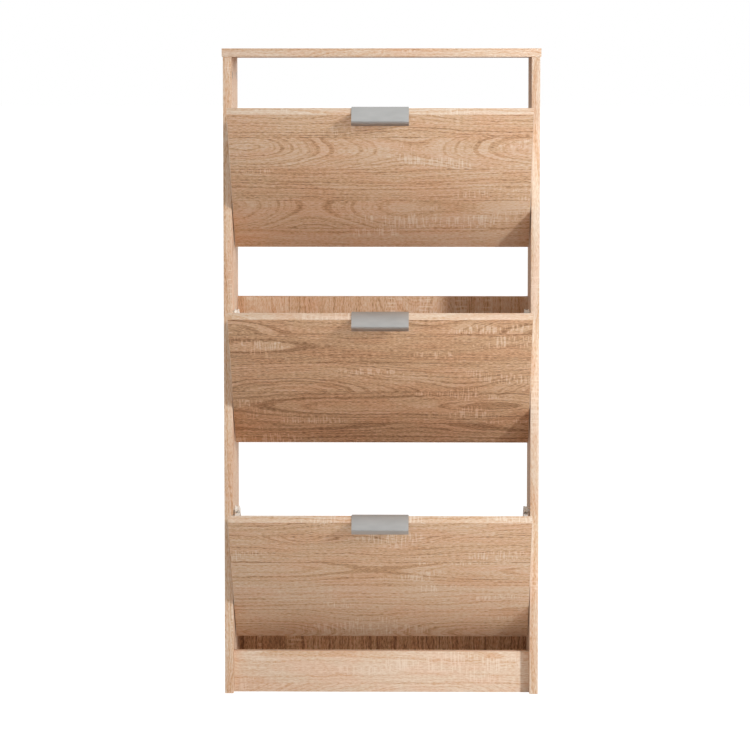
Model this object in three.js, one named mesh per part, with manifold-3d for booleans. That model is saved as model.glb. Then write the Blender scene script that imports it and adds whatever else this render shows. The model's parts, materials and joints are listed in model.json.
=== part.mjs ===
// Shoe cabinet with three tip-out flaps, 600 mm wide, 1225 mm high and 210 mm deep when closed.
// The carcass is an open-backed frame of 16 mm melamine board: two sides, a top, a plinth and two
// rails at the back. Each flap turns on two pins near its lower edge, carries two sloping shelves
// between plastic cheeks, and stops when the nose of each cheek meets a peg on the side panel.
// The flaps are modelled tipped open. Units are millimetres: X to the right, Y towards the wall, Z up.

import * as THREE from 'three';
import { mergeVertices } from 'three/addons/utils/BufferGeometryUtils.js';
import Module from 'manifold-3d';

const wasm = await Module();
wasm.setup();

// Carcass
const BOARD = 16;
const WIDTH = 600;
const DEPTH = 208;
const TOP_OVERHANG = 2;
const PLINTH_HEIGHT = 79;
const PLINTH_RECESS = 20;
const RAIL_HEIGHT = 100;
const MID_RAIL_TOP = 747;
const LOWER_RAIL_TOP = 120;
const GAP = 0.3; // between pieces that touch

// Flaps
const FLAP_NAMES = ['lower', 'middle', 'upper'];
const FLAP_HEIGHT = 370;
const FLAP_GAP = 5;
const FLAP_SIDE_GAP = 1.5;
const SWING = THREE.MathUtils.degToRad(46.5);
const PIVOT_BACK = 22; // pivot axis behind the closed flap's front face
const PIVOT_UP = 97; // pivot axis above the flap's lower edge

const FLAP_PITCH = FLAP_HEIGHT + FLAP_GAP;
const SIDE_HEIGHT = PLINTH_HEIGHT + FLAP_NAMES.length * FLAP_PITCH + FLAP_GAP;
const SIDE_OUTER = WIDTH / 2 - TOP_OVERHANG;
const SIDE_INNER = SIDE_OUTER - BOARD;
const FLAP_HALF = SIDE_INNER - FLAP_SIDE_GAP;
const FLAP_FRONT = -PIVOT_BACK; // the flap's faces and edges, measured from its pivot axis
const FLAP_REAR = FLAP_FRONT + BOARD;
const FLAP_TOP = FLAP_HEIGHT - PIVOT_UP;

// Shelves inside a flap, as the front end of each shelf's lower face, measured from the pivot axis
const SHELF_THICK = 10;
const SHELF_SLOPE = THREE.MathUtils.degToRad(20);
const SHELVES = [
  { name: 'lower_shelf', y: FLAP_REAR + 6.5, z: -86, length: 136 },
  { name: 'upper_shelf', y: FLAP_REAR + 6.5, z: 58, length: 102 },
];

// Plastic cheeks: half-widths are measured from the cabinet's middle
const CHEEK_OUT = SIDE_INNER - 4;
const CHEEK_PLATE = 2.5;
const CHEEK_RIM_IN = CHEEK_OUT - 8;
const CHEEK_FOOT_IN = CHEEK_OUT - 18;
const RIM = 2.2;
const ARC_RADIUS = 163;
const NOSE_RADIUS = 172;
const NOSE_SPAN = THREE.MathUtils.degToRad(5);
const CHANNEL_WALL = 2;

// Pins and stop pegs on the side panels
const PIN_RADIUS = 3;
const PIN_CLEARANCE = 0.1;
const BRACKET_THICK = 3;
const PEG_RADIUS = 6.5;
const PEG_BACK = 2; // peg axis behind the pivot axis
const PEG_UP = ARC_RADIUS + PEG_RADIUS + 1;

// Handles: a folded aluminium strip over the flap's upper edge
const HANDLE_HALF = 52.5;
const HANDLE_SHEET = 1.5;
const HANDLE_REACH = 19;
const HANDLE_LIP = 13;
const HANDLE_LEG = 24;
const SCREW_SPACING = 64;

// Cam fittings that hold the boards together
const CAM_RADIUS = 7.5;
const CAM_DEPTH = 12;
const CAM_INSET = 34;
const SLOT_HALF = 4;
const SLOT_WIDTH = 1.6;

const ROUND = 20; // sides of a small round piece

const FINISH = {
  board: { color: 0xc49a74, roughness: 0.6, metalness: 0 },
  plastic: { color: 0xe4e2dc, roughness: 0.5, metalness: 0 },
  metal: { color: 0xbdbcb6, roughness: 0.4, metalness: 0.9 },
  zinc: { color: 0x9b9a96, roughness: 0.45, metalness: 0.8 },
};

function piece(name, geometry, finish) {
  const mesh = new THREE.Mesh(geometry, new THREE.MeshStandardMaterial(FINISH[finish]));
  mesh.name = name;
  return mesh;
}

// A block between two corners; the corners may come in either order.
function block(xa, xb, ya, yb, za, zb) {
  const geometry = new THREE.BoxGeometry(Math.abs(xb - xa), Math.abs(yb - ya), Math.abs(zb - za));
  geometry.translate((xa + xb) / 2, (ya + yb) / 2, (za + zb) / 2);
  return geometry;
}

// A slab with an outline drawn in Y and Z, from xa to xb.
function slab(outline, xa, xb) {
  const depth = Math.abs(xb - xa);
  const geometry = new THREE.ExtrudeGeometry(outline, { depth, bevelEnabled: false, curveSegments: 7 });
  const turn = new THREE.Matrix4().makeBasis(
    new THREE.Vector3(0, 1, 0),
    new THREE.Vector3(0, 0, 1),
    new THREE.Vector3(1, 0, 0),
  );
  geometry.applyMatrix4(turn);
  geometry.translate(Math.min(xa, xb), 0, 0);
  return geometry;
}

// A cylinder along X, centred on (y, z).
function discAlongX(radius, xa, xb, y, z) {
  const geometry = new THREE.CylinderGeometry(radius, radius, Math.abs(xb - xa), ROUND);
  geometry.rotateZ(Math.PI / 2);
  geometry.translate((xa + xb) / 2, y, z);
  return geometry;
}

// A cylinder along Y, centred on (x, z).
function discAlongY(radius, x, ya, yb, z) {
  const geometry = new THREE.CylinderGeometry(radius, radius, Math.abs(yb - ya), ROUND);
  geometry.translate(x, (ya + yb) / 2, z);
  return geometry;
}

// The closed solid of a geometry, with its shared vertices merged.
function solidOf(geometry) {
  const bare = geometry.clone();
  bare.deleteAttribute('normal');
  bare.deleteAttribute('uv');
  const merged = mergeVertices(bare);
  return new wasm.Manifold(new wasm.Mesh({
    numProp: 3,
    vertProperties: new Float32Array(merged.attributes.position.array),
    triVerts: new Uint32Array(merged.index.array),
  }));
}

function geometryOf(solid) {
  const mesh = solid.getMesh();
  const geometry = new THREE.BufferGeometry();
  geometry.setAttribute('position', new THREE.BufferAttribute(mesh.vertProperties, 3));
  geometry.setIndex(new THREE.BufferAttribute(mesh.triVerts, 1));
  geometry.computeVertexNormals();
  return geometry;
}

function shaped(additions, cuts = []) {
  let solid = solidOf(additions[0]);
  for (const addition of additions.slice(1)) {
    solid = solid.add(solidOf(addition));
  }
  for (const cut of cuts) {
    solid = solid.subtract(solidOf(cut));
  }
  return geometryOf(solid);
}

// A straight strip in the YZ plane that runs from a start point at an angle above +Y. It lies on
// the upper side of its line, and rise lifts it off that line.
function strip(start, angle, length, thickness, rise = 0) {
  const along = new THREE.Vector2(Math.cos(angle), Math.sin(angle));
  const across = new THREE.Vector2(-along.y, along.x);
  const base = start.clone().addScaledVector(across, rise);
  const corners = [
    base,
    base.clone().addScaledVector(along, length),
    base.clone().addScaledVector(along, length).addScaledVector(across, thickness),
    base.clone().addScaledVector(across, thickness),
  ];
  return new THREE.Shape(corners);
}

// A band between two radii about the pivot; angles are measured from straight up, towards the wall.
function band(inner, outer, from, to) {
  const shape = new THREE.Shape();
  shape.absarc(0, 0, outer, Math.PI / 2 - from, Math.PI / 2 - to, true);
  shape.absarc(0, 0, inner, Math.PI / 2 - to, Math.PI / 2 - from, false);
  shape.closePath();
  return shape;
}

// Two circles joined by their common tangents.
function teardrop(smallRadius, bigRadius, reach, direction) {
  const spread = Math.acos((smallRadius - bigRadius) / reach);
  const shape = new THREE.Shape();
  const centre = new THREE.Vector2(Math.cos(direction), Math.sin(direction)).multiplyScalar(reach);
  shape.absarc(0, 0, smallRadius, direction + spread, direction - spread + 2 * Math.PI, false);
  shape.absarc(centre.x, centre.y, bigRadius, direction - spread, direction + spread, false);
  shape.closePath();
  return shape;
}

// ---- Carcass ----

const CAM_RAIL_X = SIDE_INNER - CAM_INSET;
const TOP_CAM_Z = SIDE_HEIGHT - CAM_INSET;
const TOP_CAM_DEPTHS = [40, DEPTH - 40];

// A slotted disc, sunk flush into a bore that is GAP wider and deeper. It is drawn with its face
// towards +Y and then turned to face out of its board.
function cam(name, x, y, z, turn = 0) {
  const body = discAlongY(CAM_RADIUS, 0, -CAM_DEPTH, 0, 0);
  const slots = [
    block(-SLOT_HALF, SLOT_HALF, -2, 1, -SLOT_WIDTH / 2, SLOT_WIDTH / 2),
    block(-SLOT_WIDTH / 2, SLOT_WIDTH / 2, -2, 1, -SLOT_HALF, SLOT_HALF),
  ];
  const mesh = piece(name, shaped([body], slots), 'zinc');
  mesh.position.set(x, y, z);
  mesh.rotation.z = turn;
  return mesh;
}

function sidePanel(name, side) {
  const board = block(side * SIDE_INNER, side * SIDE_OUTER, 0, DEPTH, 0, SIDE_HEIGHT);
  const bores = TOP_CAM_DEPTHS.map((y) => discAlongX(
    CAM_RADIUS + GAP,
    side * (SIDE_INNER - 1),
    side * (SIDE_INNER + CAM_DEPTH + GAP),
    y,
    TOP_CAM_Z,
  ));
  return piece(name, shaped([board], bores), 'board');
}

// A cross board between the sides, with a cam bored into its rear face near each end.
function crossBoard(name, front, bottom, height) {
  const board = block(-SIDE_INNER, SIDE_INNER, front, front + BOARD, bottom, bottom + height);
  const bores = [-1, 1].map((side) => discAlongY(
    CAM_RADIUS + GAP,
    side * CAM_RAIL_X,
    front + BOARD - CAM_DEPTH - GAP,
    front + BOARD + 1,
    bottom + height / 2,
  ));
  return piece(name, shaped([board], bores), 'board');
}

function carcass() {
  const group = new THREE.Group();
  const topBoard = block(-WIDTH / 2, WIDTH / 2, -TOP_OVERHANG, DEPTH, SIDE_HEIGHT, SIDE_HEIGHT + BOARD);
  group.add(piece('top_board', topBoard, 'board'));
  const crossBoards = [
    { name: 'plinth', front: PLINTH_RECESS, bottom: 0, height: PLINTH_HEIGHT },
    { name: 'middle_rail', front: DEPTH - BOARD, bottom: MID_RAIL_TOP - RAIL_HEIGHT, height: RAIL_HEIGHT },
    { name: 'lower_rail', front: DEPTH - BOARD, bottom: LOWER_RAIL_TOP - RAIL_HEIGHT, height: RAIL_HEIGHT },
  ];
  for (const { name, front, bottom, height } of crossBoards) {
    group.add(crossBoard(name, front, bottom, height));
  }
  for (const [sideName, side] of [['left', -1], ['right', 1]]) {
    group.add(sidePanel(`side_${sideName}`, side));
    TOP_CAM_DEPTHS.forEach((y, i) => {
      const place = ['front', 'rear'][i];
      group.add(cam(`top_cam_${place}_${sideName}`, side * SIDE_INNER, y, TOP_CAM_Z, side * Math.PI / 2));
    });
    for (const { name, front, bottom, height } of crossBoards) {
      const z = bottom + height / 2;
      group.add(cam(`${name}_cam_${sideName}`, side * CAM_RAIL_X, front + BOARD, z));
    }
  }
  return group;
}

// ---- Pivot brackets and stop pegs, fixed to the side panels ----

// The bracket's plate lies behind the flap's path: small round the pin, wide where it is screwed on.
function pivotBracket(name, side) {
  const plate = slab(
    teardrop(5.4, 12, 28, Math.PI / 4),
    side * (SIDE_INNER - BRACKET_THICK),
    side * SIDE_INNER,
  );
  const pin = discAlongX(PIN_RADIUS, side * (CHEEK_RIM_IN + 1), side * (SIDE_INNER - 1), 0, 0);
  return piece(name, shaped([plate, pin]), 'plastic');
}

// A spool: a neck against the panel, and a head with a shallow groove.
function stopPeg(name, side) {
  const neckEnd = SIDE_INNER - 2.5;
  const headEnd = SIDE_INNER - 12;
  const flange = 2.5;
  const at = (radius, xa, xb) => discAlongX(radius, side * xa, side * xb, PEG_BACK, PEG_UP);
  const parts = [
    at(4, neckEnd - 1, SIDE_INNER),
    at(PEG_RADIUS, neckEnd - flange, neckEnd),
    at(PEG_RADIUS - 1, headEnd + 1, neckEnd - 1),
    at(PEG_RADIUS, headEnd, headEnd + flange),
  ];
  return piece(name, shaped(parts), 'plastic');
}

// ---- Flap assembly, drawn closed and measured from its pivot axis ----

const SCREW_Z = FLAP_TOP - HANDLE_LEG / 2 - 2;
const SCREW_RADIUS = 1.8;
const SCREW_LENGTH = 12;
const SCREW_HEAD = 4;
const LEG_FRONT = FLAP_REAR + GAP;
const LEG_REAR = LEG_FRONT + HANDLE_SHEET;

function flapPanel(name) {
  const board = block(-FLAP_HALF, FLAP_HALF, FLAP_FRONT, FLAP_REAR, -PIVOT_UP, FLAP_TOP);
  const bores = [-1, 1].map((side) => discAlongY(
    SCREW_RADIUS + GAP,
    side * SCREW_SPACING / 2,
    FLAP_REAR - SCREW_LENGTH - GAP,
    FLAP_REAR + 1,
    SCREW_Z,
  ));
  return piece(name, shaped([board], bores), 'board');
}

// The handle's strip: a lip in front, a plate over the flap's edge and a leg behind it.
function handle(name) {
  const under = FLAP_TOP + GAP;
  const over = under + HANDLE_SHEET;
  const lipFront = FLAP_FRONT - HANDLE_REACH;
  const section = new THREE.Shape([
    new THREE.Vector2(lipFront, over - HANDLE_LIP),
    new THREE.Vector2(lipFront + HANDLE_SHEET, over - HANDLE_LIP),
    new THREE.Vector2(lipFront + HANDLE_SHEET, under),
    new THREE.Vector2(LEG_FRONT, under),
    new THREE.Vector2(LEG_FRONT, under - HANDLE_LEG),
    new THREE.Vector2(LEG_REAR, under - HANDLE_LEG),
    new THREE.Vector2(LEG_REAR, over),
    new THREE.Vector2(lipFront, over),
  ]);
  const holes = [-1, 1].map((side) => discAlongY(
    SCREW_RADIUS + GAP,
    side * SCREW_SPACING / 2,
    LEG_FRONT - 1,
    LEG_REAR + 1,
    SCREW_Z,
  ));
  return piece(name, shaped([slab(section, -HANDLE_HALF, HANDLE_HALF)], holes), 'metal');
}

function handleScrew(name, side) {
  const x = side * SCREW_SPACING / 2;
  const headFront = LEG_REAR + GAP;
  const shank = discAlongY(SCREW_RADIUS, x, FLAP_REAR - SCREW_LENGTH, headFront + 1, SCREW_Z);
  const head = discAlongY(SCREW_HEAD, x, headFront, headFront + 2.2, SCREW_Z);
  return piece(name, shaped([shank, head]), 'zinc');
}

// A cheek is a ribbed plate: the arc passes under the stop peg, and the nose behind it meets the
// peg when the flap is open. Channels on its inner face hold the ends of the shelves.
const NOSE_FROM = SWING + Math.asin((PEG_BACK + PEG_RADIUS + GAP) / PEG_UP);
const NOSE_TO = NOSE_FROM + NOSE_SPAN;
const ARC_FROM = Math.asin((FLAP_REAR + GAP) / ARC_RADIUS);
const FOOT_Y = FLAP_REAR + GAP;
const CHEEK_LOW = new THREE.Vector2(FOOT_Y, SHELVES[0].z - 6);
const CHEEK_LOW_LENGTH = SHELVES[0].length + 12;
const BOSS_RADIUS = 9.3;

function cheekOutline() {
  const heel = CHEEK_LOW.clone().add(
    new THREE.Vector2(Math.cos(SHELF_SLOPE), Math.sin(SHELF_SLOPE)).multiplyScalar(CHEEK_LOW_LENGTH),
  );
  const shape = new THREE.Shape();
  shape.moveTo(CHEEK_LOW.x, CHEEK_LOW.y);
  shape.lineTo(heel.x, heel.y);
  shape.lineTo(NOSE_RADIUS * Math.sin(NOSE_TO), NOSE_RADIUS * Math.cos(NOSE_TO));
  shape.absarc(0, 0, NOSE_RADIUS, Math.PI / 2 - NOSE_TO, Math.PI / 2 - NOSE_FROM, false);
  shape.absarc(0, 0, ARC_RADIUS, Math.PI / 2 - NOSE_FROM, Math.PI / 2 - ARC_FROM, false);
  shape.closePath();
  return { shape, heel };
}

function cheek(name, side) {
  const inward = (shape, inner) => slab(shape, side * inner, side * CHEEK_OUT);
  const { shape, heel } = cheekOutline();
  const noseFoot = new THREE.Vector2(Math.sin(NOSE_TO), Math.cos(NOSE_TO)).multiplyScalar(NOSE_RADIUS);
  const rear = noseFoot.clone().sub(heel);
  const additions = [
    inward(shape, CHEEK_OUT - CHEEK_PLATE),
    inward(band(ARC_RADIUS - RIM, ARC_RADIUS, ARC_FROM, NOSE_TO), CHEEK_RIM_IN),
    inward(band(ARC_RADIUS - RIM, NOSE_RADIUS, NOSE_FROM, NOSE_TO), CHEEK_RIM_IN),
    inward(strip(CHEEK_LOW, SHELF_SLOPE, CHEEK_LOW_LENGTH, RIM), CHEEK_RIM_IN),
    inward(strip(heel, rear.angle(), rear.length(), RIM), CHEEK_RIM_IN),
    block(
      side * CHEEK_FOOT_IN,
      side * CHEEK_OUT,
      FOOT_Y,
      FOOT_Y + RIM,
      CHEEK_LOW.y + 1,
      ARC_RADIUS * Math.cos(ARC_FROM),
    ),
    discAlongX(BOSS_RADIUS, side * (CHEEK_RIM_IN + 1), side * CHEEK_OUT, FOOT_Y + BOSS_RADIUS, 0),
  ];
  for (const shelf of SHELVES) {
    const start = new THREE.Vector2(shelf.y, shelf.z);
    const under = strip(start, SHELF_SLOPE, shelf.length, CHANNEL_WALL, -CHANNEL_WALL - GAP);
    const over = strip(start, SHELF_SLOPE, shelf.length, CHANNEL_WALL, SHELF_THICK + GAP);
    additions.push(inward(under, CHEEK_RIM_IN), inward(over, CHEEK_RIM_IN));
  }
  const pinHole = discAlongX(
    PIN_RADIUS + PIN_CLEARANCE,
    side * (CHEEK_RIM_IN - 1),
    side * (CHEEK_OUT + 1),
    0,
    0,
  );
  const flapSpace = block(
    side * (CHEEK_FOOT_IN - 1),
    side * (CHEEK_OUT + 1),
    FLAP_FRONT,
    FOOT_Y,
    -NOSE_RADIUS,
    NOSE_RADIUS,
  );
  return piece(name, shaped(additions, [pinHole, flapSpace]), 'plastic');
}

function shelfBoard(name, shelf) {
  const half = CHEEK_OUT - CHEEK_PLATE - GAP;
  const start = new THREE.Vector2(shelf.y, shelf.z);
  return piece(name, slab(strip(start, SHELF_SLOPE, shelf.length, SHELF_THICK), -half, half), 'board');
}

// ---- Assembly ----

const cabinet = new THREE.Group();
cabinet.add(carcass());

FLAP_NAMES.forEach((flapName, level) => {
  const pivotZ = PLINTH_HEIGHT + FLAP_GAP + level * FLAP_PITCH + PIVOT_UP;
  const fixed = new THREE.Group();
  fixed.position.set(0, PIVOT_BACK, pivotZ);
  const flap = new THREE.Group();
  flap.position.copy(fixed.position);
  flap.rotation.x = SWING;
  flap.add(flapPanel(`${flapName}_flap`));
  flap.add(handle(`${flapName}_handle`));
  for (const shelf of SHELVES) {
    flap.add(shelfBoard(`${flapName}_flap_${shelf.name}`, shelf));
  }
  for (const [sideName, side] of [['left', -1], ['right', 1]]) {
    fixed.add(pivotBracket(`${flapName}_pivot_${sideName}`, side));
    fixed.add(stopPeg(`${flapName}_stop_peg_${sideName}`, side));
    flap.add(handleScrew(`${flapName}_handle_screw_${sideName}`, side));
    flap.add(cheek(`${flapName}_cheek_${sideName}`, side));
  }
  cabinet.add(fixed, flap);
});

// The origin is the middle of the footprint on the floor, flaps and handles included.
cabinet.updateMatrixWorld(true);
const middle = new THREE.Box3().setFromObject(cabinet, true).getCenter(new THREE.Vector3());
cabinet.position.y = -middle.y;

export default cabinet;
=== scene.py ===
"""Looks of a shoe cabinet with three tip-out flaps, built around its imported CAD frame.
Lengths are in metres, in the frame's own axes: X to the right, Y towards the wall, Z up."""
import json
import math

import bmesh
import bpy
from mathutils import Matrix, Vector


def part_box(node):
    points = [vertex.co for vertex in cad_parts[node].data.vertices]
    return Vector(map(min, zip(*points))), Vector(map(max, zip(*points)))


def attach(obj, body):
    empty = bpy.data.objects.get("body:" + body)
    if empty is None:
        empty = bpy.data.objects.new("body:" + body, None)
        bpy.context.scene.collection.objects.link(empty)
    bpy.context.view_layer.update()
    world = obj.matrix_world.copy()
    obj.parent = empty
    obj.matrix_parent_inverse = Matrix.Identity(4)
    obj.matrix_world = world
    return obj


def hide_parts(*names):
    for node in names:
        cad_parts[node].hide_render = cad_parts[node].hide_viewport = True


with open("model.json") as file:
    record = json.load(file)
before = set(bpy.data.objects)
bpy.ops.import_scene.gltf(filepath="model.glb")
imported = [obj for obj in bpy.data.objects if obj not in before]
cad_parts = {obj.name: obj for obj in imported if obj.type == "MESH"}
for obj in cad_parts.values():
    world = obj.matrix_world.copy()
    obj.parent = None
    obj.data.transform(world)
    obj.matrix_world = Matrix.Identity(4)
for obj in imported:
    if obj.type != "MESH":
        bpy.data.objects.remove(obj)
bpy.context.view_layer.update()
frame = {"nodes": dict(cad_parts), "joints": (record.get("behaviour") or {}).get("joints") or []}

MM = 0.001
X, Y, Z = 0, 1, 2
FLAPS = ("lower", "middle", "upper")
SIDES = (("left", -1), ("right", 1))

# Boards
EDGING = 0.8 * MM  # thickness of the strips glued round a board
EDGING_CORNER = 0.6 * MM
SEAM = 0.12 * MM  # chamfer beside a joint, which shows as a fine line
PALE = 0.22  # tone of the top board, the sides and all edging, on the oak print's scale

# Fittings; these repeat the CAD model's sizes
GAP = 0.3 * MM  # between pieces that touch
SHEET = 1.5 * MM
HANDLE_LIP = 13 * MM
HANDLE_LEG_SCREWS = 64 * MM
CAM_RADIUS = 7.5 * MM
CAM_DEPTH = 12 * MM
CAM_CROSS = 8 * MM  # span of a cam's cross recess
CAM_CROSS_WIDTH = 1.6 * MM
SHELF_SLOPE = math.radians(20)
CHEEK_PLATE = 2.5 * MM
CHEEK_RIM = 2.2 * MM
CHEEK_RIM_HEIGHT = 8 * MM
CHEEK_PAST_SHELF = 12 * MM  # how much longer a cheek's lower edge is than the lower shelf
CHANNEL_WALL = 2 * MM
ARC_RADIUS = 163 * MM
NOSE_RADIUS = 172 * MM
NOSE_SPAN = math.radians(5)
BOSS_RADIUS = 9.3 * MM
PIN_RADIUS = 3 * MM
PIN_CLEARANCE = 0.1 * MM
BRACKET_THICK = 3 * MM
BRACKET_NARROW = 5.4 * MM  # radius of its end round the pin
BRACKET_WIDE = 12 * MM  # radius of its other end
BRACKET_REACH = 28 * MM  # between the middles of the two ends
BRACKET_LEAN = math.pi / 4

# Details that only this model has
RIBS = ((math.radians(64), 80 * MM), (math.radians(20), 141 * MM))  # lean and length, from the boss
RIB_THICK = 1.6 * MM
RIB_HEIGHT = 5 * MM  # from the cheek's outer face, like the rim's height
CHEEK_SCREWS = (-55 * MM, 25 * MM, 120 * MM)  # heights above the pivot
CHEEK_SCREW_INSET = 5 * MM  # from the inner edge of the cheek's flange
COLLAR_RADIUS = 4.2 * MM  # of the collar round a pin's foot, on the bracket's plate
COLLAR_HEIGHT = 0.6 * MM
BRACKET_SCREW_OFFSET = 6 * MM  # from the middle of the wide end to each screw
SCREW_HEAD_RADIUS = 2.9 * MM
SCREW_HEAD_HEIGHT = 1.5 * MM
SCREW_SEAT = 1.1 * MM  # how deep a bracket's screws are seated below its face
PEG_SEAT = 10.4 * MM  # from the side panel to the screw's seat in a peg


# ---- Places and sizes, read from the frame ----

def local_box(node, place):
    """The lowest and highest corner of a CAD node, measured in a placement's own axes."""
    to_local = place.inverted()
    points = [to_local @ vertex.co for vertex in frame["nodes"][node].data.vertices]
    low = Vector([min(point[axis] for point in points) for axis in range(3)])
    high = Vector([max(point[axis] for point in points) for axis in range(3)])
    return low, high


HINGES = {joint["child"]: joint for joint in frame["joints"]}
SWING = -math.radians(HINGES["upper_flap"]["range_deg"][0])


def pivot_of(flap):
    return Vector(HINGES[f"{flap}_flap"]["pos_m"])


def flap_place(flap):
    """Flaps are drawn closed, measured from their pivot, and stand open at rest."""
    return Matrix.Translation(pivot_of(flap)) @ Matrix.Rotation(SWING, 4, "X")


def facing(point, direction):
    """A placement at a point whose Z axis looks along a direction."""
    turn = Vector(direction).to_track_quat("Z", "Y").to_matrix().to_4x4()
    return Matrix.Translation(Vector(point)) @ turn


# ---- Outlines: closed lists of points in a plane ----

def rounded(points, radii, steps=5):
    """A polygon with its corners rounded; radii is one radius, or one for each corner."""
    if not isinstance(radii, (list, tuple)):
        radii = [radii] * len(points)
    outline = []
    for i, radius in enumerate(radii):
        corner = Vector(points[i])
        to_last = (Vector(points[i - 1]) - corner).normalized()
        to_next = (Vector(points[(i + 1) % len(points)]) - corner).normalized()
        half = to_last.angle(to_next) / 2
        if radius == 0:
            outline.append(corner)
            continue
        centre = corner + (to_last + to_next).normalized() * radius / math.sin(half)
        reach = radius / math.tan(half)
        start = corner + to_last * reach - centre
        end = corner + to_next * reach - centre
        for step in range(steps + 1):
            outline.append(centre + start.lerp(end, step / steps).normalized() * radius)
    return outline


def arc(centre, radius, start, end, steps):
    """Points on an arc; its angles are measured from the first axis towards the second."""
    points = []
    for step in range(steps + 1):
        angle = start + (end - start) * step / steps
        points.append(Vector(centre) + radius * Vector((math.cos(angle), math.sin(angle))))
    return points


def circle(centre, radius, steps=32):
    return arc(centre, radius, 0, 2 * math.pi, steps)[:-1]


def strip(start, angle, length, thickness, rise=0.0):
    """A straight strip on the upper side of a line; rise lifts it off that line."""
    along = Vector((math.cos(angle), math.sin(angle))) * length
    across = Vector((-math.sin(angle), math.cos(angle)))
    base = Vector(start) + across * rise
    top = across * thickness
    return rounded([base, base + along, base + along + top, base + top], 0.5 * MM, 3)


# ---- Meshes ----

CURVE_LIMIT = math.radians(32)  # faces that meet at less than this are shaded as one curve


def finished(bm, name):
    """The mesh of a bmesh, with its faces turned outwards."""
    bmesh.ops.recalc_face_normals(bm, faces=bm.faces)
    mesh = bpy.data.meshes.new(name)
    bm.to_mesh(mesh)
    bm.free()
    return shaded(mesh)


def shaded(mesh):
    """The same mesh, smooth over its curves and sharp at its edges."""
    mesh.shade_smooth()
    mesh.set_sharp_from_angle(angle=CURVE_LIMIT)
    return mesh


def other_axes(axis):
    return [other for other in (X, Y, Z) if other != axis]


def prism(outline, axis, start, end, ease=0.0):
    """The solid that an outline sweeps along an axis; ease rounds the edges of its two ends."""
    across = other_axes(axis)
    bm = bmesh.new()
    rings = []
    for distance in (start, end):
        ring = []
        for point in outline:
            place = Vector((0, 0, 0))
            place[axis] = distance
            place[across[0]] = point[0]
            place[across[1]] = point[1]
            ring.append(bm.verts.new(place))
        rings.append(ring)
    near, far = rings
    ends = [bm.faces.new(near), bm.faces.new(far)]
    for i in range(len(outline)):
        bm.faces.new((near[i - 1], near[i], far[i], far[i - 1]))
    if ease:
        rims = list({edge for face in ends for edge in face.edges})
        bmesh.ops.bevel(bm, geom=rims, offset=ease, segments=2, profile=0.5, affect="EDGES")
    return finished(bm, "prism")


def turned(profile):
    """The solid that (distance, radius) points make when turned about the Z axis, end to end.
    A ring of no radius is one vertex, repeated, and the faces that reach it drop the repeat."""
    segments = 40
    bm = bmesh.new()
    rings = []
    for distance, radius in profile:
        if radius == 0:
            rings.append([bm.verts.new((0, 0, distance))] * segments)
        else:
            ring = circle((0, 0), radius, segments)
            rings.append([bm.verts.new((point.x, point.y, distance)) for point in ring])
    for low, high in zip(rings, rings[1:]):
        for i in range(segments):
            corners = dict.fromkeys([low[i - 1], low[i], high[i], high[i - 1]])
            bm.faces.new(list(corners))
    return finished(bm, "turned")


def boolean(base, tool, operation):
    """The mesh left when a tool mesh is joined to a base mesh, or cut from it."""
    holder = bpy.data.objects.new("holder", base)
    cutter = bpy.data.objects.new("cutter", tool)
    for helper in (holder, cutter):
        bpy.context.scene.collection.objects.link(helper)
    modifier = holder.modifiers.new("boolean", "BOOLEAN")
    modifier.object = cutter
    modifier.operation = operation
    modifier.solver = "MANIFOLD"
    depsgraph = bpy.context.evaluated_depsgraph_get()
    result = bpy.data.meshes.new_from_object(holder.evaluated_get(depsgraph))
    result.materials.clear()
    for helper in (holder, cutter):
        bpy.data.objects.remove(helper)
    return shaded(result)


def merged(parts, cuts):
    """The union of some meshes, with others cut from it."""
    result = parts[0]
    for part in parts[1:]:
        result = boolean(result, part, "UNION")
    for cut in cuts:
        result = boolean(result, cut, "DIFFERENCE")
    return result


def mirrored(mesh):
    """A copy of a mesh, mirrored left to right."""
    copy = mesh.copy()
    copy.transform(Matrix.Scale(-1, 4, (1, 0, 0)))
    copy.flip_normals()
    return copy


def place_piece(name, mesh, place, body, material, replaces=()):
    """Puts a mesh in the scene as a piece of the object."""
    piece = bpy.data.objects.new(name, mesh)
    bpy.context.scene.collection.objects.link(piece)
    piece.matrix_world = place
    if not mesh.materials:
        mesh.materials.append(material)
    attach(piece, body)
    if replaces:
        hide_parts(*replaces)


# ---- Material nodes ----

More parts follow.
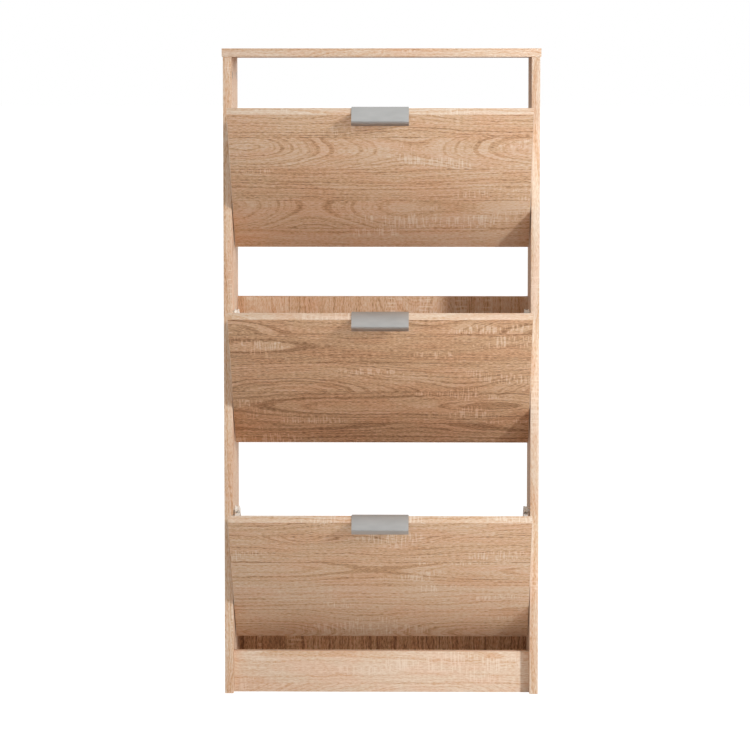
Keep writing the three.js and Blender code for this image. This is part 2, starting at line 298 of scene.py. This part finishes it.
class Tree:
    """A material's node tree, with a short call for each kind of node it uses."""

    def __init__(self, name):
        self.material = bpy.data.materials.new(name)
        self.material.use_nodes = True
        self.nodes = self.material.node_tree.nodes
        self.links = self.material.node_tree.links
        self.shader = self.nodes["Principled BSDF"]

    def node(self, kind, inputs, **settings):
        made = self.nodes.new("ShaderNode" + kind)
        for key, value in settings.items():
            setattr(made, key, value)
        for key, value in inputs.items():
            self.feed(made.inputs[key], value)
        return made

    def feed(self, socket, value):
        if isinstance(value, bpy.types.NodeSocket):
            self.links.new(value, socket)
        else:
            socket.default_value = value

    def math(self, operation, *values):
        return self.node("Math", dict(enumerate(values)), operation=operation).outputs[0]

    def spread(self, vector, *lengths):
        """A vector divided by one length for each axis, so that noise on it has features that long."""
        factors = [1 / length for length in lengths] + [0.0] * (3 - len(lengths))
        return self.node("VectorMath", {0: vector, 1: factors}, operation="MULTIPLY").outputs[0]

    def noise(self, vector, detail, roughness=0.5, dimensions="2D"):
        inputs = {"Scale": 1.0, "Detail": detail, "Roughness": roughness}
        inputs["W" if dimensions == "1D" else "Vector"] = vector
        return self.node("TexNoise", inputs, noise_dimensions=dimensions).outputs[0]

    def step(self, value, low, high, to_low=0.0, to_high=1.0):
        """A smooth step of a value between two levels."""
        inputs = {"Value": value, "From Min": low, "From Max": high, "To Min": to_low, "To Max": to_high}
        return self.node("MapRange", inputs, interpolation_type="SMOOTHSTEP").outputs[0]

    def about_zero(self, value, reach):
        """A value of 0 to 1 as one that swings about zero, with this reach from end to end."""
        return self.math("MULTIPLY", self.math("SUBTRACT", value, 0.5), reach)

    def total(self, start, terms):
        """start plus each (value, weight) term, where a value swings about one half."""
        result = start - sum(weight for value, weight in terms) / 2
        for value, weight in terms:
            result = self.math("MULTIPLY_ADD", value, weight, result)
        return result

    def ramp(self, factor, stops):
        node = self.node("ValToRGB", {0: factor})
        while len(node.color_ramp.elements) < len(stops):
            node.color_ramp.elements.new(0.5)
        for element, (position, color) in zip(node.color_ramp.elements, stops):
            element.position = position
            element.color = linear(color)
        return node.outputs[0]

    def tinted(self, color, tint, share):
        """A colour multiplied by a tint, as far as a share of 0 to 1 says."""
        node = self.node("Mix", {0: share}, data_type="RGBA", blend_type="MULTIPLY")
        self.feed(node.inputs[6], color)
        self.feed(node.inputs[7], linear(tint))
        return node.outputs[2]

    def bump(self, height, distance, strength):
        inputs = {"Height": height, "Distance": distance, "Strength": strength}
        self.links.new(self.node("Bump", inputs).outputs[0], self.shader.inputs["Normal"])

    def set(self, **inputs):
        for key, value in inputs.items():
            self.feed(self.shader.inputs[key.replace("_", " ")], value)


def linear(color):
    """A display colour, each channel of it from 0 to 255, as scene-linear red, green, blue and alpha."""
    channels = []
    for channel in color:
        share = channel / 255
        channels.append(share / 12.92 if share <= 0.04045 else ((share + 0.055) / 1.055) ** 2.4)
    return channels + [1.0]


# ---- Materials ----

PLANK = 86 * MM  # width of the planks that the oak pattern shows
RING = 3.8 * MM  # spacing of the growth rings


def growth_rings(t, sheet, along, from_middle, chances):
    """Rings, counted by the distance from the heart of the log, which lies off the plank's middle and at
    a changing depth. Where the depth hardly changes they run straight; in some planks they form arches."""
    tone_chance, shift_chance, side_chance = chances
    shifted = t.math("MULTIPLY_ADD", shift_chance, 60.0, t.math("MULTIPLY", along, 1.9))
    depth_range = t.step(side_chance, 0.45, 0.85, 24 * MM, 230 * MM)
    dips = t.about_zero(t.noise(shifted, 1.0, dimensions="1D"), depth_range)
    depth = t.math("ADD", t.math("MULTIPLY_ADD", shift_chance, 70 * MM, 20 * MM), dips)
    off_middle = t.about_zero(tone_chance, 1.6 * PLANK)
    wander = t.about_zero(t.noise(t.spread(sheet, 0.32, 0.07), 1.0), 22 * MM)
    ripple = t.about_zero(t.noise(t.spread(sheet, 0.03, 0.012), 2.0), 8 * MM)
    sideways = from_middle
    for part in (off_middle, wander, ripple):
        sideways = t.math("ADD", sideways, part)
    squares = t.math("ADD", t.math("POWER", depth, 2.0), t.math("POWER", sideways, 2.0))
    ring_count = t.math("MULTIPLY_ADD", shift_chance, 90.0, t.math("DIVIDE", t.math("SQRT", squares), RING))
    return t.step(t.noise(ring_count, 3.0, 0.6, "1D"), 0.30, 0.60)


def marks_of_the_saw(t, sheet, along, across, shift_chance):
    """Fine lines across the grain, which show only in patches."""
    lines = t.step(t.noise(t.spread(sheet, 3.4 * MM, 42 * MM), 1.0), 0.50, 0.66)
    patch_along = t.math("MULTIPLY_ADD", shift_chance, 50.0, t.math("DIVIDE", along, 0.2))
    patch_place = t.node("CombineXYZ", {0: patch_along, 1: t.math("DIVIDE", across, 0.06)}).outputs[0]
    patches = t.step(t.noise(patch_place, 2.0), 0.57, 0.66)
    return t.math("MULTIPLY", lines, patches)


def oak(name):
    """Rough-sawn oak print: planks with growth rings, streaks, dashes, pores and pale saw marks.
    It reads the attribute "grain": the place along the grain, the place across it, and the board's tone."""
    t = Tree(name)
    sheet = t.node("Attribute", {}, attribute_name="grain").outputs["Vector"]
    along, across, tone = t.node("SeparateXYZ", {0: sheet}).outputs[:3]

    plank_inputs = {"W": across, "Scale": 1 / PLANK, "Randomness": 0.35}
    plank = t.node("TexVoronoi", plank_inputs, voronoi_dimensions="1D")
    edge = t.node("TexVoronoi", plank_inputs, voronoi_dimensions="1D", feature="DISTANCE_TO_EDGE")
    joint_line = t.step(edge.outputs["Distance"], 0.0, 0.02, 1.0, 0.0)
    chances = t.node("SeparateColor", {0: plank.outputs["Color"]}).outputs[:3]
    tone_chance, shift_chance = chances[:2]

    from_middle = t.math("SUBTRACT", across, plank.outputs["W"])
    rings = growth_rings(t, sheet, along, from_middle, chances)
    streaks = t.noise(t.spread(sheet, 0.085, 2.2 * MM), 3.0, 0.62)
    dashes = t.noise(t.spread(sheet, 8 * MM, 1.7 * MM), 2.0, 0.6)
    clouds = t.noise(t.spread(sheet, 0.34, 0.07), 2.0)
    pores = t.step(t.noise(t.spread(sheet, 9 * MM, 0.5 * MM), 1.0), 0.60, 0.74)
    saw_marks = marks_of_the_saw(t, sheet, along, across, shift_chance)

    level = t.total(0.48, [
        (rings, 0.27), (streaks, 0.56), (dashes, 0.92), (clouds, 0.20), (tone_chance, 0.14),
    ])
    level = t.math("ADD", level, tone)
    level = t.math("MULTIPLY_ADD", pores, -0.22, level)
    level = t.math("MULTIPLY_ADD", joint_line, -0.18, level)
    level = t.math("MULTIPLY_ADD", saw_marks, 0.27, level)
    color = t.ramp(level, [
        (0.05, (133, 96, 67)), (0.35, (196, 153, 115)), (0.55, (218, 180, 145)),
        (0.78, (224, 199, 174)), (1.0, (236, 216, 196)),
    ])
    blush = t.step(t.noise(t.spread(sheet, 0.12, 0.035), 2.0), 0.40, 0.66)
    color = t.tinted(color, (255, 240, 234), t.math("MULTIPLY", blush, 0.5))
    t.set(Base_Color=color, Roughness=t.step(streaks, 0.3, 0.7, 0.60, 0.72), Specular_IOR_Level=0.4)

    height = t.total(0.0, [(streaks, 0.35), (rings, 0.25)])
    height = t.math("MULTIPLY_ADD", pores, -0.7, height)
    height = t.math("MULTIPLY_ADD", saw_marks, 0.5, height)
    t.bump(height, 0.12 * MM, 0.5)
    return t.material


def plastic(name):
    """Off-white moulded plastic with a fine matt grain."""
    t = Tree(name)
    place = t.node("TexCoord", {}).outputs["Object"]
    tint = t.noise(t.spread(place, 0.05, 0.05, 0.05), 2.0, dimensions="3D")
    grain = t.noise(t.spread(place, 0.5 * MM, 0.5 * MM, 0.5 * MM), 2.0, dimensions="3D")
    color = t.ramp(tint, [(0.3, (236, 232, 224)), (0.7, (246, 243, 237))])
    t.set(Base_Color=color, Roughness=t.step(grain, 0.3, 0.7, 0.42, 0.56))
    t.bump(grain, 0.03 * MM, 0.5)
    return t.material


def aluminium(name):
    """Satin anodised sheet, brushed along its length."""
    t = Tree(name)
    place = t.node("TexCoord", {}).outputs["Object"]
    brushing = t.noise(t.spread(place, 28 * MM, 0.25 * MM, 0.25 * MM), 3.0, 0.6, "3D")
    blotches = t.noise(t.spread(place, 0.03, 0.012, 0.012), 2.0, dimensions="3D")
    level = t.total(0.5, [(brushing, 0.5), (blotches, 0.5)])
    color = t.ramp(level, [(0.3, (184, 184, 182)), (0.7, (198, 197, 195))])
    t.set(Base_Color=color, Metallic=1.0, Roughness=t.step(brushing, 0.3, 0.7, 0.28, 0.38))
    t.bump(brushing, 0.02 * MM, 0.4)
    return t.material


def zinc(name):
    """Zinc-plated steel and die-cast zinc: a grey, slightly clouded metal."""
    t = Tree(name)
    place = t.node("TexCoord", {}).outputs["Object"]
    clouds = t.noise(t.spread(place, 2.5 * MM, 2.5 * MM, 2.5 * MM), 3.0, 0.6, "3D")
    scuffs = t.noise(t.spread(place, 0.4 * MM, 3 * MM, 0.4 * MM), 2.0, dimensions="3D")
    color = t.ramp(clouds, [(0.3, (150, 150, 148)), (0.7, (186, 186, 182))])
    t.set(Base_Color=color, Metallic=0.9, Roughness=t.step(scuffs, 0.3, 0.7, 0.32, 0.52))
    t.bump(scuffs, 0.03 * MM, 0.5)
    return t.material


OAK = oak("oak_print")
PLASTIC = plastic("moulded_plastic")
ALUMINIUM = aluminium("satin_aluminium")
ZINC = zinc("zinc_plating")


# ---- Boards ----

def lay_grain(mesh, axis, cut_from, tone):
    """Marks each point with its place on one endless sheet of oak print, along the grain and across
    it, and with the board's tone. cut_from is the place on the sheet where the origin lies."""
    across = other_axes(axis)
    grain = mesh.attributes.new("grain", "FLOAT_VECTOR", "POINT")
    for vertex, mark in zip(mesh.vertices, grain.data):
        place = vertex.co
        mark.vector = (place[axis] + cut_from[0], place[across[0]] + place[across[1]] + cut_from[1], tone)


def board_core(low, high, thin, bores):
    """A board without its edging, with round bores cut into it."""
    a, b = other_axes(thin)
    corners = [
        (low[a] + EDGING, low[b] + EDGING), (high[a] - EDGING, low[b] + EDGING),
        (high[a] - EDGING, high[b] - EDGING), (low[a] + EDGING, high[b] - EDGING),
    ]
    core = prism(corners, thin, low[thin], high[thin], SEAM)
    for bore in bores:
        core = boolean(core, bore, "DIFFERENCE")
    return core


def board_edging(low, high, thin, cut_from):
    """Four strips round a board, each cut from its own place and with the grain along it."""
    a, b = other_axes(thin)
    strips = []
    for run, out, inset in ((a, b, 0), (b, a, EDGING)):
        first, second = other_axes(run)
        for outer, inner in ((low[out], low[out] + EDGING), (high[out], high[out] - EDGING)):
            section = []
            for face, outward in ((low, inner), (low, outer), (high, outer), (high, inner)):
                corner = {thin: face[thin], out: outward}
                section.append((corner[first], corner[second]))
            outline = rounded(section, [SEAM, EDGING_CORNER, EDGING_CORNER, SEAM], 3)
            edge_strip = prism(outline, run, low[run] + inset, high[run] - inset, SEAM)
            shift = 0.37 * (len(strips) + 1)
            lay_grain(edge_strip, run, (cut_from[0] + 2 * shift, cut_from[1] + shift), PALE)
            strips.append(edge_strip)
    return strips


def joined(meshes, name):
    """Some meshes as one, each part of it still apart from the others."""
    bm = bmesh.new()
    for mesh in meshes:
        bm.from_mesh(mesh)
    result = bpy.data.meshes.new(name)
    bm.to_mesh(result)
    bm.free()
    return shaded(result)


def board(node, place, body, thin, grain, cut_from, tone, bores=()):
    """A melamine board that replaces a CAD board: its core, and the edging round it."""
    low, high = local_box(node, place)
    core = board_core(low, high, thin, bores)
    lay_grain(core, grain, cut_from, tone)
    place_piece(f"{node}_board", core, place, body, OAK, [node])
    edging = joined(board_edging(low, high, thin, cut_from), f"{node}_edging")
    place_piece(f"{node}_edging", edging, place, body, OAK)


def side_cams(side_name):
    """The cams in a side panel, which hold the top board."""
    return [f"top_cam_{place}_{side_name}" for place in ("front", "rear")]


def cam_bore(cam, axis, face, inwards):
    """A bore round a cam, from a board's face inwards; inwards is 1 or -1 along the axis."""
    low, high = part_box(cam)
    centre = (low + high) / 2
    a, b = other_axes(axis)
    outline = circle((centre[a], centre[b]), CAM_RADIUS + GAP)
    return prism(outline, axis, face - inwards * MM, face + inwards * (CAM_DEPTH + GAP))


def carcass_boards():
    at_rest = Matrix()
    board("top_board", at_rest, "carcass", Z, X, (3.1, 0.62), PALE)
    for side_name, side in SIDES:
        node = f"side_{side_name}"
        low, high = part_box(node)
        inner_face = high.x if side < 0 else low.x
        bores = [cam_bore(cam, X, inner_face, side) for cam in side_cams(side_name)]
        cut_from = (7.3 + side, 1.9 + side)
        board(node, at_rest, "carcass", X, Z, cut_from, PALE, bores)
    for node, grain, cut_from, tone in (
        ("plinth", X, (5.2, 4.15), 0.3),
        ("middle_rail", Z, (9.4, 2.2), 0.08),
        # the lower rail's darker tone is painted shade: it stands for the deep shade behind the lower flap
        # and the plinth
        ("lower_rail", Z, (11.8, 6.3), -0.22),
    ):
        rear_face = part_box(node)[1].y
        bores = [cam_bore(f"{node}_cam_{side_name}", Y, rear_face, -1) for side_name, side in SIDES]
        board(node, at_rest, "carcass", Y, grain, cut_from, tone, bores)


# Where each flap is cut from the sheet of oak print, and its tone
FLAP_CUTS = {"upper": (1.39, 8.29), "middle": (1.0, 9.915), "lower": (3.1, 9.3)}
FLAP_TONES = {"upper": 0.06, "middle": -0.13, "lower": 0.06}
SHELVES = ("lower_shelf", "upper_shelf")


def flap_boards():
    for flap in FLAPS:
        place = flap_place(flap)
        body = f"{flap}_flap"
        board(body, place, body, Y, X, FLAP_CUTS[flap], FLAP_TONES[flap])
        sloping = place @ Matrix.Rotation(SHELF_SLOPE, 4, "X")
        for i, shelf in enumerate(SHELVES):
            cut_from = (FLAP_CUTS[flap][0] + 20, FLAP_CUTS[flap][1] + 3 * i)
            board(f"{body}_{shelf}", sloping, body, Z, X, cut_from, 0.0)


# ---- Metal fittings ----

def cross_cut(span, width, bottom, top):
    """A cutter for a cross recess, centred on the Z axis."""
    cutters = []
    for a, b in ((span / 2, width / 2), (width / 2, span / 2)):
        cutters.append(prism([(-a, -b), (a, -b), (a, b), (-a, b)], Z, bottom, top))
    return boolean(cutters[0], cutters[1], "UNION")


def screw_mesh(head_radius, head_height, shank_radius, length):
    """A pan-head screw along the Z axis with a cross recess; the seat of its head is at the origin."""
    dome = []
    steps = 6
    for step in range(steps + 1):
        angle = math.pi / 2 * step / steps
        radius = head_radius * (0.55 + 0.45 * math.cos(angle))
        dome.append((head_height * (0.25 + 0.75 * math.sin(angle)), radius))
    profile = [(-length, 0), (-length + 2 * shank_radius, shank_radius), (0, shank_radius), (0, head_radius)]
    body = turned(profile + dome + [(head_height, 0)])
    recess = cross_cut(1.15 * head_radius, 0.28 * head_radius, 0.35 * head_height, head_height + 1 * MM)
    return boolean(body, recess, "DIFFERENCE")


def cam_mesh():
    """A cam, flush with the board's face at the origin, with a cross recess and a pointer notch."""
    rim = 0.4 * MM
    profile = [(-CAM_DEPTH, 0), (-CAM_DEPTH, CAM_RADIUS), (-rim, CAM_RADIUS), (0, CAM_RADIUS - rim)]
    dish = [(0, 5.6 * MM), (-0.4 * MM, 5.2 * MM), (-0.4 * MM, 0)]
    recess = cross_cut(CAM_CROSS, CAM_CROSS_WIDTH, -2 * MM, 1 * MM)
    notch = [(5.4 * MM, -0.5 * MM), (8 * MM, -0.9 * MM), (8 * MM, 0.9 * MM), (5.4 * MM, 0.5 * MM)]
    return merged([turned(profile + dish)], [recess, prism(notch, Z, -1 * MM, 1 * MM)])


def cams():
    mesh = cam_mesh()
    for side_name, side in SIDES:
        outwards = {node: Vector((-side, 0, 0)) for node in side_cams(side_name)}
        for rail in ("plinth", "middle_rail", "lower_rail"):
            outwards[f"{rail}_cam_{side_name}"] = Vector((0, 1, 0))
        for node, direction in outwards.items():
            low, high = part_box(node)
            face = (low + high) / 2 + direction * (high - low) / 2
            place = facing(face, direction)
            place_piece(f"{node}_disc", mesh, place, "carcass", ZINC, [node])


def handle_mesh(low, high):
    """A strip folded over the flap's edge: a lip in front, a plate over the edge, a leg behind."""
    inside_front, inside_rear, inside_top = low.y + SHEET, high.y - SHEET, high.z - SHEET
    lip_end = high.z - HANDLE_LIP
    section = [
        (low.y, lip_end), (inside_front, lip_end), (inside_front, inside_top), (inside_rear, inside_top),
        (inside_rear, low.z), (high.y, low.z), (high.y, high.z), (low.y, high.z),
    ]
    end, inner_bend, outer_bend = 0.4 * MM, 0.3 * MM, 1.1 * MM
    radii = [end, end, inner_bend, inner_bend, end, end, outer_bend, outer_bend]
    return prism(rounded(section, radii, 6), X, low.x, high.x, 0.25 * MM)


def handles(screw):
    for flap in FLAPS:
        place = flap_place(flap)
        body = f"{flap}_flap"
        node = f"{flap}_handle"
        low, high = local_box(node, place)
        mesh = handle_mesh(low, high)
        place_piece(f"{node}_strip", mesh, place, body, ALUMINIUM, [node])
        for side_name, side in SIDES:
            node = f"{flap}_handle_screw_{side_name}"
            screw_low, screw_high = local_box(node, place)
            seat = (side * HANDLE_LEG_SCREWS / 2, high.y, (screw_low.z + screw_high.z) / 2)
            turn = place @ facing(seat, (0, 1, 0))
            place_piece(f"{node}_panhead", screw, turn, body, ZINC, [node])


# ---- Plastic fittings ----

def peg_mesh():
    """A spool that stands on the side panel along Z, its head recessed for a screw.
    The points of its profile are a distance from the panel and a radius, in millimetres."""
    neck = [(0, 0), (0, 4.0), (2.3, 4.0), (2.5, 4.3)]
    near_flange = [(2.5, 6.1), (2.9, 6.5), (4.6, 6.5), (5.0, 6.1)]
    groove = [(5.4, 5.7), (6.2, 5.5), (8.3, 5.5), (9.1, 5.7)]
    far_flange = [(9.5, 6.1), (9.9, 6.5), (11.6, 6.5), (12.0, 6.1)]
    recess = [(12.0, 3.9), (11.7, 3.6), (PEG_SEAT / MM, 3.4), (PEG_SEAT / MM, 0)]
    profile = neck + near_flange + groove + far_flange + recess
    return turned([(distance * MM, radius * MM) for distance, radius in profile])


def bracket_mesh(side_name, side):
    """A pear-shaped plate on the side panel with a pin for the flap; drawn about the pin's axis."""
    low, high = local_box(f"upper_pivot_{side_name}", Matrix.Translation(pivot_of("upper")))
    panel = max(abs(low.x), abs(high.x))
    tip = min(abs(low.x), abs(high.x))
    lean = BRACKET_LEAN
    spread = math.acos((BRACKET_NARROW - BRACKET_WIDE) / BRACKET_REACH)
    centre = BRACKET_REACH * Vector((math.cos(lean), math.sin(lean)))
    outline = arc((0, 0), BRACKET_NARROW, lean + spread, lean - spread + 2 * math.pi, 14)
    outline += arc(centre, BRACKET_WIDE, lean - spread, lean + spread, 28)
    face = panel - BRACKET_THICK
    inside = side * (panel - 1 * MM)  # where the pin and its collar end, within the plate
    plate = prism(outline, X, side * face, side * panel, 0.5 * MM)
    pin = prism(circle((0, 0), PIN_RADIUS), X, side * tip, inside, 0.4 * MM)
    collar = prism(circle((0, 0), COLLAR_RADIUS), X, side * (face - COLLAR_HEIGHT), inside, 0.3 * MM)
    recesses = []
    for place in bracket_screw_places(side, panel):
        recess = prism(circle((0, 0), SCREW_HEAD_RADIUS + GAP), Z, 0, 5 * MM)
        recess.transform(place)
        recesses.append(recess)
    return merged([plate, pin, collar], recesses)


def bracket_screw_places(side, panel):
    """Two screws hold each bracket, side by side across its wide end."""
    seat = side * (panel - BRACKET_THICK + SCREW_SEAT)
    places = []
    for offset in (-BRACKET_SCREW_OFFSET, BRACKET_SCREW_OFFSET):
        y = BRACKET_REACH * math.cos(BRACKET_LEAN) - offset * math.sin(BRACKET_LEAN)
        z = BRACKET_REACH * math.sin(BRACKET_LEAN) + offset * math.cos(BRACKET_LEAN)
        places.append(facing((seat, y, z), (-side, 0, 0)))
    return places


def brackets_and_pegs(screw):
    peg = peg_mesh()
    for side_name, side in SIDES:
        bracket = bracket_mesh(side_name, side)
        for flap in FLAPS:
            at_pivot = Matrix.Translation(pivot_of(flap))
            node = f"{flap}_pivot_{side_name}"
            place_piece(f"{node}_bracket", bracket, at_pivot, "carcass", PLASTIC, [node])
            panel = max(abs(corner.x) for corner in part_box(node))
            for i, place in enumerate(bracket_screw_places(side, panel)):
                name = f"{node}_screw_{i + 1}"
                place_piece(name, screw, at_pivot @ place, "carcass", ZINC)
            node = f"{flap}_stop_peg_{side_name}"
            low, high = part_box(node)
            foot = Vector((high.x if side > 0 else low.x, (low.y + high.y) / 2, (low.z + high.z) / 2))
            place = facing(foot, (-side, 0, 0))
            place_piece(f"{node}_spool", peg, place, "carcass", PLASTIC, [node])
            seat = facing(foot - Vector((side * PEG_SEAT, 0, 0)), (-side, 0, 0))
            place_piece(f"{node}_screw", screw, seat, "carcass", ZINC)


def band(inner, outer, start, end):
    """A band between two radii about the pivot; its angles are measured from straight up, rearwards."""
    outline = arc((0, 0), outer, math.pi / 2 - start, math.pi / 2 - end, 24)
    outline += arc((0, 0), inner, math.pi / 2 - end, math.pi / 2 - start, 24)
    return outline


def cheek_outlines(low, lower_shelf):
    """The outline of a cheek's plate, and those of the four rims along its edges."""
    peg_low, peg_high = local_box("upper_stop_peg_right", Matrix.Translation(pivot_of("upper")))
    nose_from = SWING + math.asin((peg_high.y + GAP) / ((peg_low.z + peg_high.z) / 2))
    nose_to = nose_from + NOSE_SPAN
    arc_from = math.asin(low.y / ARC_RADIUS)
    foot = Vector((low.y, low.z))
    foot_length = lower_shelf[1].y - lower_shelf[0].y + CHEEK_PAST_SHELF
    heel = foot + foot_length * Vector((math.cos(SHELF_SLOPE), math.sin(SHELF_SLOPE)))
    rear = NOSE_RADIUS * Vector((math.sin(nose_to), math.cos(nose_to))) - heel

    outline = [foot, heel]
    outline += arc((0, 0), NOSE_RADIUS, math.pi / 2 - nose_to, math.pi / 2 - nose_from, 6)
    outline += arc((0, 0), ARC_RADIUS, math.pi / 2 - nose_from, math.pi / 2 - arc_from, 40)
    inset = 0.01 * MM  # keeps the curved rims just inside the plate's edge
    rims = [
        band(ARC_RADIUS - CHEEK_RIM, ARC_RADIUS - inset, arc_from, nose_to),
        band(ARC_RADIUS - CHEEK_RIM, NOSE_RADIUS - inset, nose_from, nose_to),
        strip(foot, SHELF_SLOPE, foot_length, CHEEK_RIM),
        strip(heel, math.atan2(rear.y, rear.x), rear.length, CHEEK_RIM),
    ]
    return outline, rims


def channel_walls(shelves):
    """Outlines of the walls under and over the end of each shelf."""
    turn = Matrix.Rotation(SHELF_SLOPE, 2)
    walls = []
    for low, high in shelves:
        for level in (low.z - GAP - CHANNEL_WALL, high.z + GAP):
            start = turn @ Vector((low.y, level))
            walls.append(strip(start, SHELF_SLOPE, high.y - low.y, CHANNEL_WALL))
    return walls


def cheek_mesh():
    """The right-hand cheek, drawn closed about the pivot: a ribbed plate that carries the shelves.
    Its arc passes under the stop peg, and the nose at the arc's end stops against the peg."""
    place = flap_place("upper")
    low, high = local_box("upper_cheek_right", place)
    sloping = place @ Matrix.Rotation(SHELF_SLOPE, 4, "X")
    shelves = [local_box(f"upper_flap_{shelf}", sloping) for shelf in SHELVES]
    out = high.x
    inner_rim = out - CHEEK_RIM_HEIGHT
    under_skin = out - 0.3 * MM  # rims, walls, ribs and boss end within the plate's thickness
    ease = 0.4 * MM
    outline, rims = cheek_outlines(low, shelves[0])
    parts = [prism(outline, X, out - CHEEK_PLATE, out, ease)]
    parts += [prism(rim, X, inner_rim, under_skin, ease) for rim in rims]

    # The flange that is screwed to the flap, and the boss round the pin
    bottom, top = low.z + 1 * MM, math.sqrt(ARC_RADIUS ** 2 - low.y ** 2) - 0.5 * MM
    flange = rounded([(low.x, bottom), (out, bottom), (out, top), (low.x, top)], [4 * MM, 0, 0, 4 * MM])
    parts.append(prism(flange, Y, low.y, low.y + CHEEK_RIM, 0.3 * MM))
    boss_centre = (low.y + BOSS_RADIUS, 0)
    parts.append(prism(circle(boss_centre, BOSS_RADIUS), X, inner_rim + 1 * MM, under_skin, ease))

    parts += [prism(wall, X, inner_rim, under_skin, ease) for wall in channel_walls(shelves)]
    for lean, length in RIBS:
        rib = strip(boss_centre, lean, length, RIB_THICK, -RIB_THICK / 2)
        parts.append(prism(rib, X, out - RIB_HEIGHT, under_skin, 0.3 * MM))

    pin_hole = prism(circle((0, 0), PIN_RADIUS + PIN_CLEARANCE), X, inner_rim - 1 * MM, out + 1 * MM)
    ahead = low.y - 40 * MM
    flap_space = prism(
        [(ahead, -NOSE_RADIUS), (low.y, -NOSE_RADIUS), (low.y, NOSE_RADIUS), (ahead, NOSE_RADIUS)],
        X, low.x - 1 * MM, out + 1 * MM,
    )
    return merged(parts, [pin_hole, flap_space])


def cheeks(screw):
    right = cheek_mesh()
    meshes = {"right": right, "left": mirrored(right)}
    low, high = local_box("upper_cheek_right", flap_place("upper"))
    for flap in FLAPS:
        place = flap_place(flap)
        body = f"{flap}_flap"
        for side_name, side in SIDES:
            node = f"{flap}_cheek_{side_name}"
            place_piece(f"{node}_moulding", meshes[side_name], place, body, PLASTIC, [node])
            for i, height in enumerate(CHEEK_SCREWS):
                seat = (side * (low.x + CHEEK_SCREW_INSET), low.y + CHEEK_RIM, height)
                turn = place @ facing(seat, (0, 1, 0))
                place_piece(f"{node}_screw_{i + 1}", screw, turn, body, ZINC)


# ---- Room, light and camera ----

def white_floor():
    """A pale floor. The camera sees it as plain white, while it still lights the object from below."""
    bm = bmesh.new()
    bmesh.ops.create_grid(bm, x_segments=1, y_segments=1, size=400)
    floor = bpy.data.objects.new("floor", finished(bm, "floor"))
    bpy.context.scene.collection.objects.link(floor)
    t = Tree("floor_white")
    t.set(Base_Color=(0.8, 0.8, 0.8, 1), Roughness=1.0, Specular_IOR_Level=0.0)
    glow = t.node("Emission", {"Color": (1, 1, 1, 1), "Strength": 1.2})
    seen = t.math("MULTIPLY", t.node("LightPath", {}).outputs["Is Camera Ray"], 0.85)
    blend = t.node("MixShader", {0: seen, 1: t.shader.outputs[0], 2: glow.outputs[0]})
    t.links.new(blend.outputs[0], t.nodes["Material Output"].inputs["Surface"])
    floor.data.materials.append(t.material)


def white_surroundings(seen, cast):
    """A white background, and a soft white light from all round."""
    world = bpy.data.worlds.new("studio")
    bpy.context.scene.world = world
    world.use_nodes = True
    nodes, links = world.node_tree.nodes, world.node_tree.links
    strength = nodes.new("ShaderNodeMix")
    strength.inputs[2].default_value = cast
    strength.inputs[3].default_value = seen
    links.new(nodes.new("ShaderNodeLightPath").outputs["Is Camera Ray"], strength.inputs[0])
    background = nodes["Background"]
    background.inputs["Color"].default_value = (1, 1, 1, 1)
    links.new(strength.outputs[0], background.inputs["Strength"])


def softbox(name, place, aim, width, height, power):
    """A rectangular light, aimed at a point and not itself seen by the camera."""
    data = bpy.data.lights.new(name, "AREA")
    data.shape = "RECTANGLE"
    data.size = width
    data.size_y = height
    data.energy = power
    light = bpy.data.objects.new(name, data)
    bpy.context.scene.collection.objects.link(light)
    turn = (Vector(aim) - Vector(place)).to_track_quat("-Z", "Y").to_matrix().to_4x4()
    light.matrix_world = Matrix.Translation(place) @ turn
    light.visible_camera = False


def camera():
    """A long lens from the front, a little right of the middle and just lower than the top board."""
    data = bpy.data.cameras.new("camera")
    data.sensor_width = 36
    data.lens = 163
    data.clip_end = 200
    view = bpy.data.objects.new("camera", data)
    bpy.context.scene.collection.objects.link(view)
    yaw, pitch = math.radians(-0.855), math.radians(4.851)
    forward = Vector((math.sin(yaw) * math.cos(pitch), math.cos(yaw) * math.cos(pitch), -math.sin(pitch)))
    turn = forward.to_track_quat("-Z", "Y").to_matrix().to_4x4()
    view.matrix_world = Matrix.Translation((0.0834, -6.401, 1.153)) @ turn
    bpy.context.scene.camera = view


# ---- The scene ----

small_screw = screw_mesh(SCREW_HEAD_RADIUS, SCREW_HEAD_HEIGHT, shank_radius=1.4 * MM, length=10 * MM)
handle_screw = screw_mesh(head_radius=4 * MM, head_height=2.2 * MM, shank_radius=1.8 * MM, length=12 * MM)
carcass_boards()
flap_boards()
cams()
handles(handle_screw)
brackets_and_pegs(small_screw)
cheeks(small_screw)

white_floor()
white_surroundings(seen=1.0, cast=0.425)
softbox("key", place=(2.7, -2.8, 1.8), aim=(0, 0, 0.6), width=0.3, height=1.4, power=98)
softbox("ceiling", place=(0, -0.6, 3.8), aim=(0, -0.6, 0), width=4.0, height=3.0, power=20)
softbox("front", place=(-0.5, -4.5, 0.8), aim=(0, 0, 0.6), width=1.6, height=1.0, power=12)
softbox("rear", place=(2.2, 3.0, 2.0), aim=(0, 0, 0.6), width=1.0, height=1.4, power=45)
camera()
bpy.context.scene.view_settings.view_transform = "Standard"
